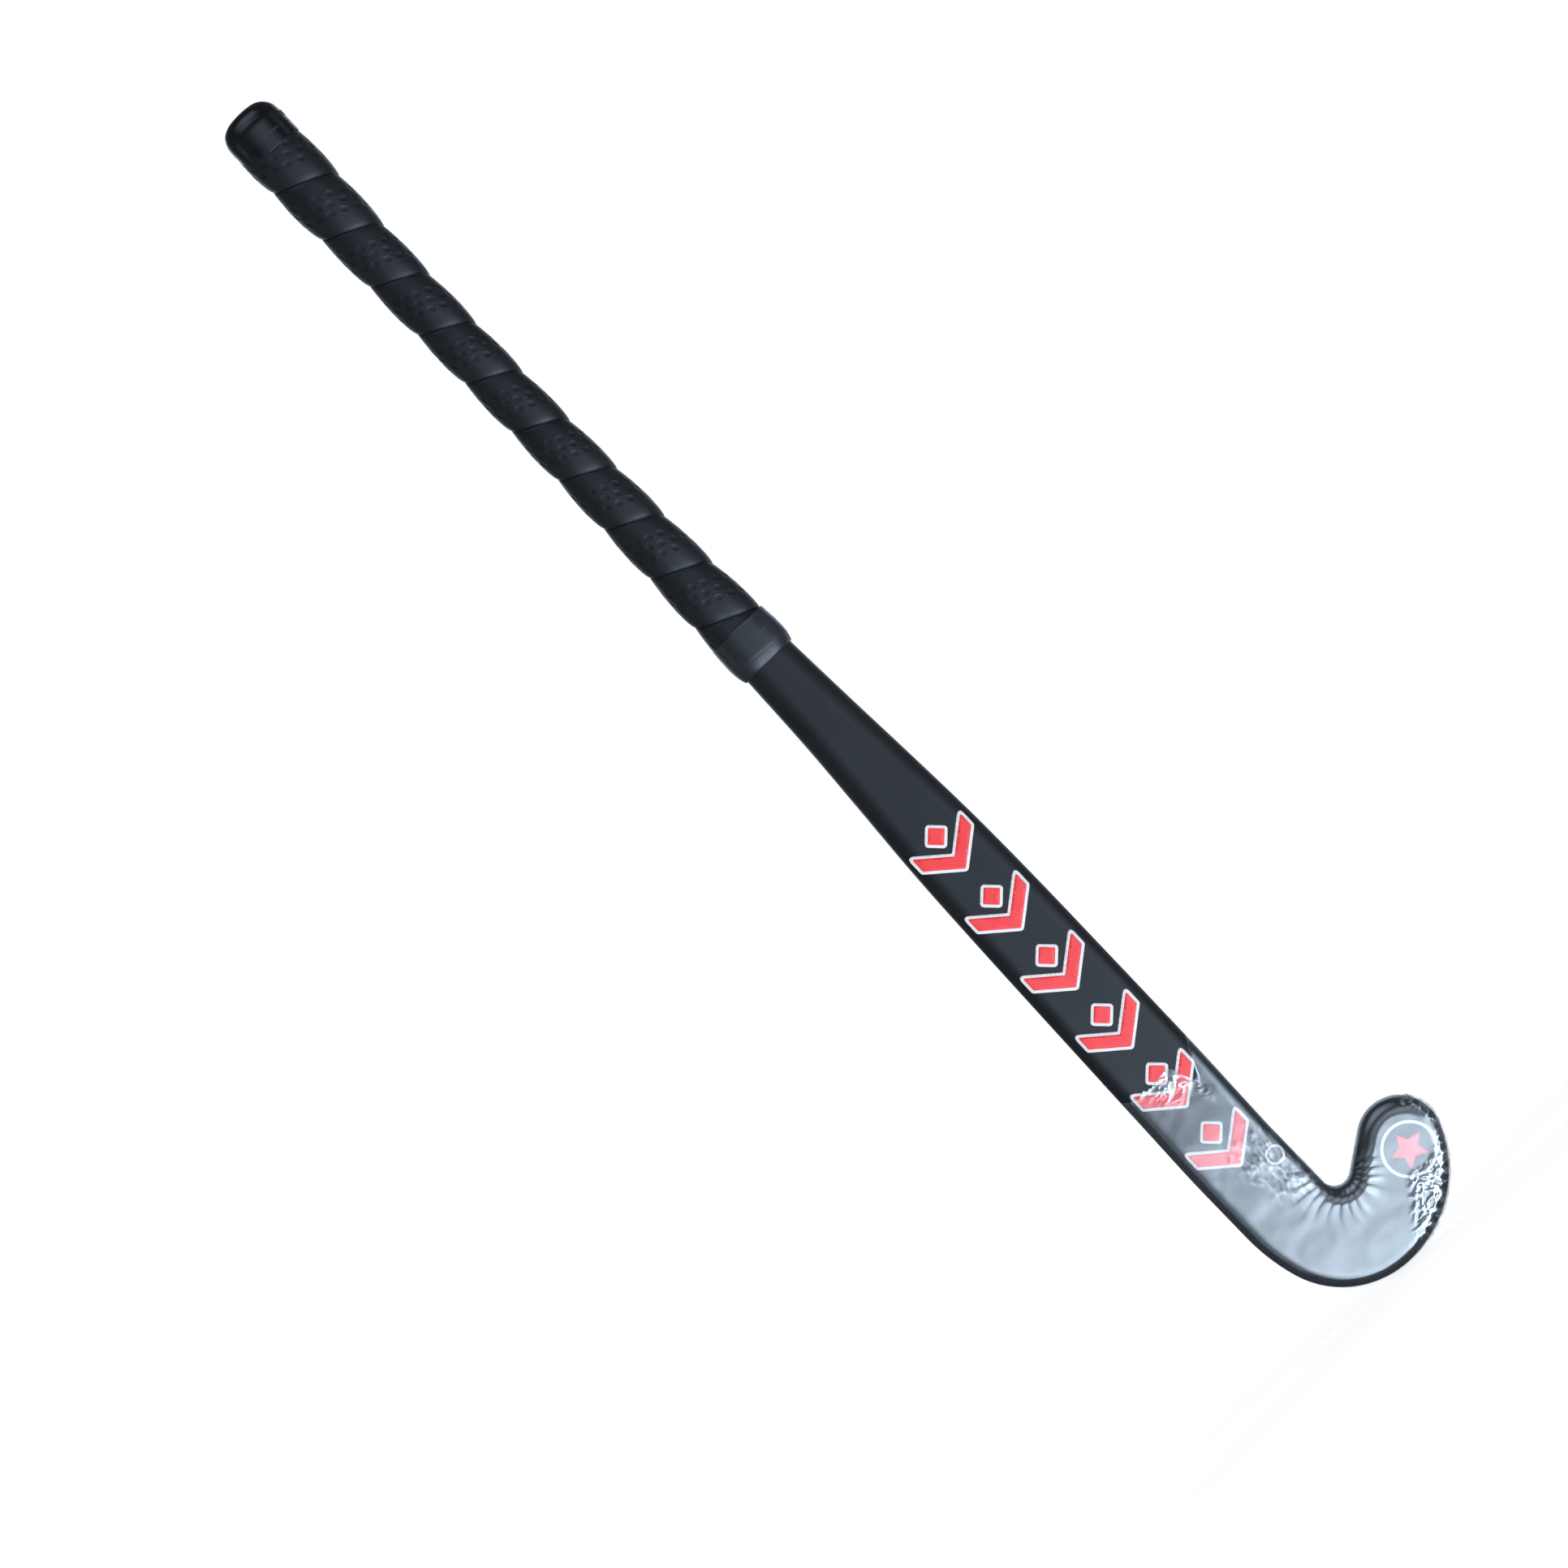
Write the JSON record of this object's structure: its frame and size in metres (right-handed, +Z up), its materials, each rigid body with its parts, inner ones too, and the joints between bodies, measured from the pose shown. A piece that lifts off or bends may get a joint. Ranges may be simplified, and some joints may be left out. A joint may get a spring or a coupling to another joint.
{
  "type": "field hockey stick",
  "caption": "Composite field hockey stick: hooked head with a flat playing face and rounded back, bowed shaft, spiral padded grip and clear film over the head.",
  "frame": {"origin": "middle of the whole stick's footprint, level with the lowest point of the head", "axes": "+Z up along the handle to the butt, -Y out of the flat playing face's side, +X to the heel and -X to the toe"},
  "size_m": [0.1256, 0.0624, 0.9132],
  "materials": {
    "black_composite": "satin black lacquer over fibre composite",
    "foam": "rigid polyurethane foam",
    "underlay": "thin adhesive foam",
    "grip": "soft perforated polyurethane tape",
    "collar": "smooth satin finishing tape",
    "butt": "glossy vinyl tape",
    "film": "clear glossy shrink film",
    "white_print": "white transfer",
    "red_print": "red transfer"
  },
  "bodies": {
    "root": {"composite_shell": "black_composite", "head_core": "foam", "shaft_core": "foam", "handle_rib": "black_composite", "butt_plug": "foam", "grip_underlay": "underlay", "grip_tape": "grip", "collar_tape": "collar", "butt_tape": "butt", "head_film": "film", "back_graphic_white": "white_print", "back_graphic_red": "red_print", "face_graphic_white": "white_print", "face_graphic_red": "red_print", "face_small_marks": "white_print", "back_round_mark": "white_print", "toe_badge_ring": "white_print", "toe_badge_emblem": "red_print"}
  },
  "joints": []
}
